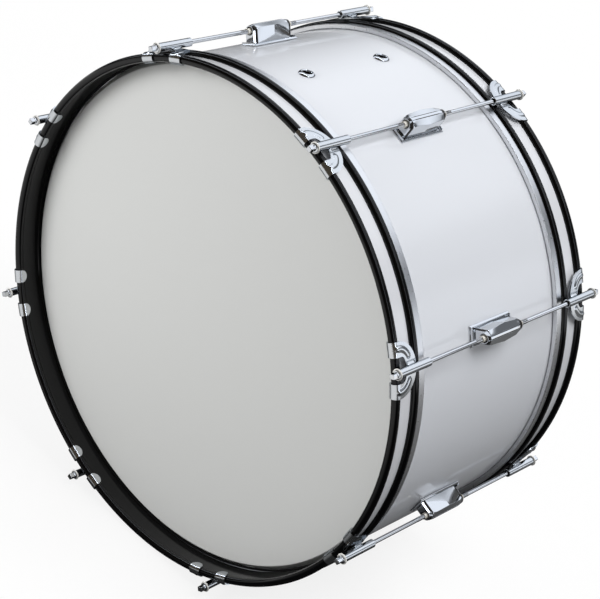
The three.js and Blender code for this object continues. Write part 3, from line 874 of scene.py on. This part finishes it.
right = arc((0, RIM), (CLAW_HALF, RIM), -90, 0, MOON_STEPS) + [(CLAW_HALF, TAB_START)]
right += arc((CLAW_HALF - ARM / 2, TAB_START), (ARM / 2, TAB_END - TAB_START), 0, 180,
             TAB_STEPS)[1:]
right += [(WINDOW_HALF, WINDOW_START)]
right += arc((0, WINDOW_START), (WINDOW_HALF, WINDOW_START - WINDOW_LOW), 0, -90,
             WINDOW_STEPS)[1:]
outline = right + [(-u, v) for u, v in reversed(right[1:-1])]
claw = new_vertex("claw_sheet")
draw([(u * MM, v * MM, 0) for u, v in outline + [outline[0]]])
merge_doubles()
bpy.ops.mesh.edge_face_add()
print("outline points", len(outline))

# %% [markdown]
# One face can't bend, so the sheet is cut into small squares by bisecting it again and
# again, both ways. A subdivided grid trimmed to the outline would have a ragged edge,
# whereas bisecting keeps the outline as it was drawn.

# %% Cut the sheet into small squares
GRID, GRID_MERGE = 1.1, 0.05
for axis, low, high in ((0, -CLAW_HALF, CLAW_HALF), (1, 0, TAB_END)):
    count = int((high - low) / GRID)
    for i in range(1, count):
        point, normal = [0, 0, 0], [0, 0, 0]
        point[axis], normal[axis] = (low + (high - low) * i / count) * MM, 1
        bpy.ops.mesh.select_all(action="SELECT")
        bpy.ops.mesh.bisect(plane_co=point, plane_no=normal)
merge_doubles(GRID_MERGE)
bpy.ops.object.mode_set(mode="OBJECT")
print("squares", len(claw.data.polygons))

# %% [markdown]
# Now each point is pressed and bent by a formula. Near a curved line on each lobe it
# rises to form the rib. Along the drum the sheet lies flat as far as the bead, goes half
# round it and comes back under it. Across the drum it follows the hoop's curve. The
# simple deform modifier could bend it too, but a formula puts the bend just on the bead.
# Last, a solidify modifier gives the sheet its thickness.

# %% Press the ribs and bend the sheet
RIB_RADII, RIB_STOP, RIB_STEPS = (25, 18.3), -56, 40
RIB_HALF, RIB_RISE = 4.0, 1.5
SHEET_ANGLE = 40
RIB_LINE = arc((0, RIM), RIB_RADII, 0, RIB_STOP, RIB_STEPS)


def rise(u, v):
    """How far the sheet is pressed outward at a point, in mm."""
    near = min(math.hypot(abs(u) - x, v - y) for x, y in RIB_LINE)
    if near >= RIB_HALF:
        return 0
    return RIB_RISE * (0.5 + 0.5 * math.cos(math.pi * near / RIB_HALF))


def bent(u, v, up):
    """Where a point of the flat sheet comes to lie."""
    if v <= RIM:
        along, radius = PLATE_TIP + v, PLATE_IN + up
    elif v <= AROUND:
        a = (v - RIM) / HOOK
        along = BEAD_OUT + (HOOK + up) * math.sin(a)
        radius = BEAD_CIRCLE + (HOOK + up) * math.cos(a)
    else:
        along, radius = BEAD_OUT - (v - AROUND), BEAD_CIRCLE - HOOK - up
    turn_by = u / PLATE_IN
    return Vector((radius * math.sin(turn_by), along, radius * math.cos(turn_by))) * MM


for vertex in claw.data.vertices:
    u, v = vertex.co.x / MM, vertex.co.y / MM
    vertex.co = bent(u, v, rise(u, v))
bpy.ops.object.mode_set(mode="EDIT")
bpy.ops.mesh.select_all(action="SELECT")
bpy.ops.mesh.normals_make_consistent(inside=False)
bpy.ops.object.mode_set(mode="OBJECT")
top_face = max(claw.data.polygons, key=lambda f: f.center.z)
if top_face.normal.z < 0:
    claw.data.flip_normals()
modify(claw, "SOLIDIFY", thickness=SHEET * MM, offset=1)
smooth(claw, SHEET_ANGLE)
print("claw faces", len(claw.data.polygons))

# %% [markdown]
# The barrel is the tube that the rod goes through, and a short neck joins it to the
# plate. The barrel is turned. The neck is wide at the plate and narrow at the barrel, so
# it is a skin over a few rectangles with round corners, one above the other, which gives
# it the soft waist of a welded joint.

# %% Barrel and neck, and the claws in their places
BARREL_OUT, BARREL_IN, BARREL_START, BARREL_END = 5.3, 3.9, 136.0, 190.0
BARREL_STEPS, MOUTH, LIP = 40, 0.3, 0.4
# Half width, start and end along the axis, height, and radius of the corners.
NECK = ((8.0, 152.6, 168.4, 342.2, 4), (6.4, 153.2, 167.6, 342.9, 4),
        (5.0, 153.8, 167.0, 343.7, 3.5), (4.3, 154.2, 166.6, 344.4, 3),
        (4.2, 154.4, 166.4, 345.25, 3))
NECK_CORNER_STEPS, NECK_ANGLE = 6, 50


def round_box(half_x, low_y, high_y, z, corner):
    """A level rectangle with round corners."""
    middle, half_y = (low_y + high_y) / 2, (high_y - low_y) / 2
    ring = []
    for side_x, side_y, start in ((1, 1, 0), (-1, 1, 90), (-1, -1, 180), (1, -1, 270)):
        center = (side_x * (half_x - corner), middle + side_y * (half_y - corner))
        ring += arc(center, (corner, corner), start, start + 90, NECK_CORNER_STEPS)
    return [Vector((x, y, z)) * MM for x, y in ring]


barrel = turned("barrel", [
    (BARREL_IN, BARREL_START + MOUTH), (BARREL_IN + MOUTH, BARREL_START),
    (BARREL_OUT - LIP, BARREL_START), (BARREL_OUT, BARREL_START + LIP),
    (BARREL_OUT, BARREL_END - LIP), (BARREL_OUT - LIP, BARREL_END),
    (BARREL_IN + MOUTH, BARREL_END), (BARREL_IN, BARREL_END - MOUTH)], BARREL_STEPS, ROD)
neck = skin("neck", [round_box(*section) for section in NECK], ends="filled")
smooth(neck, NECK_ANGLE)
claw = join(claw, barrel, neck)
for side_name in SIDES:
    for k in range(1, STATIONS + 1):
        body = f"{side_name}_claw_{k}"
        settle(copy_of(claw, f"{side_name}_stamped_claw_{k}"), satin_chrome, body, body,
               station_turn(k, side_name))
print("barrel", BARREL_END - BARREL_START, "mm long, claw faces", len(claw.data.polygons))
bpy.data.objects.remove(claw)

# %% [markdown]
# ## Floor
# The floor is a large sheet of paper that catches the drum's shadow. A curved backdrop would do as
# well, but a flat sheet looks the same from every side. It lies just under the drum.

# %% Floor
FLOOR_SIZE, FLOOR_DROP = 16, 0.5

deselect()
bpy.ops.mesh.primitive_plane_add(size=FLOOR_SIZE, location=(0, 0, -FLOOR_DROP * MM))
floor = bpy.context.object
floor.name = "studio_floor"
print("floor", FLOOR_SIZE, "m wide")

# %% [markdown]
# To the camera the paper is nearly white, and whiter further off, so that no horizon
# shows. More light would make it white too, but the white drum would lose its shape. So
# what kind of ray asks decides: the camera's ray sees a glow over the shadow, light that
# bounces sees grey paper, and a reflection sees darker and lighter zones.

# %% Paper
PAPER_GREY, PAPER_GLOW, GLOW_FROM, GLOW_FULL = "#989898", 0.82, 0.7, 2.2
# Each zone: the direction it lies in, where it starts and is full in metres along that
# direction, and its level before and after.
ZONES = (((0, 1, 0), 0.0, 0.5, 0.03, 0.17), ((-0.4, -0.9, 0), 0.2, 0.8, 0, 0.9),
         ((0.65, 0.76, 0), 2.4, 4.6, 0, 1.15))


def soft_edge(tree, where, way, start, full, before, after):
    """A level that changes softly along one direction of a vector."""
    along = add_node(tree, "ShaderNodeVectorMath", {0: where, 1: way}, operation="DOT_PRODUCT")
    return add_node(tree, "ShaderNodeMapRange", {
        "Value": along.outputs["Value"], "From Min": start, "From Max": full,
        "To Min": before, "To Max": after}, interpolation_type="SMOOTHSTEP").outputs["Result"]


paper = bpy.data.materials.new("white_paper")
paper.use_nodes = True
tree = paper.node_tree
tree.nodes.clear()
path = add_node(tree, "ShaderNodeLightPath", {})
spot = add_node(tree, "ShaderNodeTexCoord", {})
tone = add_node(tree, "ShaderNodeMix", {
    "Factor": path.outputs["Is Camera Ray"], "A": linear(PAPER_GREY), "B": WHITE},
    data_type="RGBA")
matte = add_node(tree, "ShaderNodeBsdfDiffuse", {"Color": tone.outputs["Result"]})
glow = add_node(tree, "ShaderNodeEmission", {"Color": WHITE, "Strength": 1})
reach = add_node(tree, "ShaderNodeVectorMath", {0: spot.outputs["Object"]}, operation="LENGTH")
fade = add_node(tree, "ShaderNodeMapRange", {
    "Value": reach.outputs["Value"], "From Min": GLOW_FROM, "From Max": GLOW_FULL,
    "To Min": PAPER_GLOW, "To Max": 1}, interpolation_type="SMOOTHSTEP")
seen = add_node(tree, "ShaderNodeMath", {
    0: path.outputs["Is Camera Ray"], 1: fade.outputs["Result"]}, operation="MULTIPLY")
glare = 0
for zone in ZONES:
    level = soft_edge(tree, spot.outputs["Object"], *zone)
    glare = add_node(tree, "ShaderNodeMath", {0: glare, 1: level}, operation="MAXIMUM").outputs[0]
reflected = add_node(tree, "ShaderNodeEmission", {"Color": WHITE, "Strength": glare})
plain = add_node(tree, "ShaderNodeMixShader", {
    "Fac": seen.outputs[0], 1: matte.outputs[0], 2: glow.outputs[0]})
blend = add_node(tree, "ShaderNodeMixShader", {
    "Fac": path.outputs["Is Glossy Ray"], 1: plain.outputs[0], 2: reflected.outputs[0]})
add_node(tree, "ShaderNodeOutputMaterial", {"Surface": blend.outputs[0]})
floor.data.materials.append(paper)
print("paper nodes", len(tree.nodes))

# %% [markdown]
# ## World
# Chrome and gloss plastic look like the room they stand in, so the world has a room for
# reflections: a bright ceiling toward the back, a wall at the right, a dim one behind and
# a narrow, very bright strip overhead that draws the white streaks along the metal. It
# could be a picture of a studio, but a few soft-edged directions are easy to move until
# the streaks lie as in the photograph. The part in front of the drum is a little warm and
# the rest cool. Diffuse light sees an even weak fill, and the camera sees white.

# %% World
FILL_LIGHT, DARKEST = 0.25, 0.1
# Each light is the product of soft edges: a direction, the cosine at which the light
# starts and the one at which it is full, and its level.
ROOM_LIGHTS = {
    "ceiling": (((-0.35, 0, 1), 0.2, 0.42, 1.0), ((0.1, 0.99, 0), -0.05, 0.2, 1.3),
                ((1, 0, 0), -0.75, -0.45, 1.0)),
    "right wall": (((0.93, 0.36, 0.1), 0.78, 0.87, 1.3), ((0, 0, -1), -0.34, -0.16, 1.0)),
    "back wall": (((0.3, 0.95, 0), 0.35, 0.7, 0.2),),
    "strip": (((0, 1, 0), -0.17, -0.13, 1.0), ((0, -1, 0), 0.07, 0.11, 1.0),
              ((0, 0, 1), 0.0, 0.3, 8.0))}
WARM, COOL, COOL_FROM, COOL_FULL = "#DCCAB2", "#F2F7FF", -0.45, -0.2

world = bpy.data.worlds.new("studio")
bpy.context.scene.world = world
world.use_nodes = True
tree = world.node_tree
tree.nodes.clear()
path = add_node(tree, "ShaderNodeLightPath", {})
facing = add_node(tree, "ShaderNodeTexCoord", {}).outputs["Generated"]
brightest = DARKEST
for edges in ROOM_LIGHTS.values():
    light = 1
    for way, start, full, level in edges:
        edge = soft_edge(tree, facing, Vector(way).normalized(), start, full, 0, level)
        light = add_node(tree, "ShaderNodeMath", {0: light, 1: edge},
                         operation="MULTIPLY").outputs[0]
    brightest = add_node(tree, "ShaderNodeMath", {0: brightest, 1: light},
                         operation="MAXIMUM").outputs[0]
coolness = soft_edge(tree, facing, (0, 1, 0), COOL_FROM, COOL_FULL, 0, 1)
shade = add_node(tree, "ShaderNodeMix", {
    "Factor": coolness, "A": linear(WARM), "B": linear(COOL)}, data_type="RGBA")
fill = add_node(tree, "ShaderNodeBackground", {"Color": WHITE, "Strength": FILL_LIGHT})
room = add_node(tree, "ShaderNodeBackground", {
    "Color": shade.outputs["Result"], "Strength": brightest})
backdrop = add_node(tree, "ShaderNodeBackground", {"Color": WHITE, "Strength": 1})
lit = add_node(tree, "ShaderNodeMixShader", {
    "Fac": path.outputs["Is Glossy Ray"], 1: fill.outputs[0], 2: room.outputs[0]})
whole = add_node(tree, "ShaderNodeMixShader", {
    "Fac": path.outputs["Is Camera Ray"], 1: lit.outputs[0], 2: backdrop.outputs[0]})
add_node(tree, "ShaderNodeOutputWorld", {"Surface": whole.outputs[0]})
print("room lights", list(ROOM_LIGHTS))

# %% [markdown]
# ## Lamps
# Four soft square lamps light the drum itself: a key lamp above the right side, which
# shades the wrap from top to bottom, two in front at the left, which light the head
# evenly, and one at the back for the other head. A single bright lamp would do for one
# view, but the drum is seen from all sides. The lamps don't show in reflections, because
# the room in the world makes those.

# %% Lamps
# Name, place and size in metres, and power in watts.
LAMPS = (("key_softbox", (1.6, 0.3, 3.0), 1.8, 69), ("high_softbox", (-1.5, -3.1, 1.9), 1.8, 38),
         ("front_softbox", (-1.5, -2.2, 0.9), 1.6, 32), ("back_softbox", (-1.2, 3.2, 1.4), 2.0, 60))
for name, place, size, power in LAMPS:
    data = bpy.data.lights.new(name, "AREA")
    data.size, data.energy = size, power
    lamp = bpy.data.objects.new(name, data)
    bpy.context.collection.objects.link(lamp)
    lamp.location = place
    lamp.rotation_euler = (AXIS - Vector(place)).to_track_quat("-Z", "Y").to_euler()
    lamp.visible_glossy = False
print("lamps", [name for name, *_ in LAMPS])
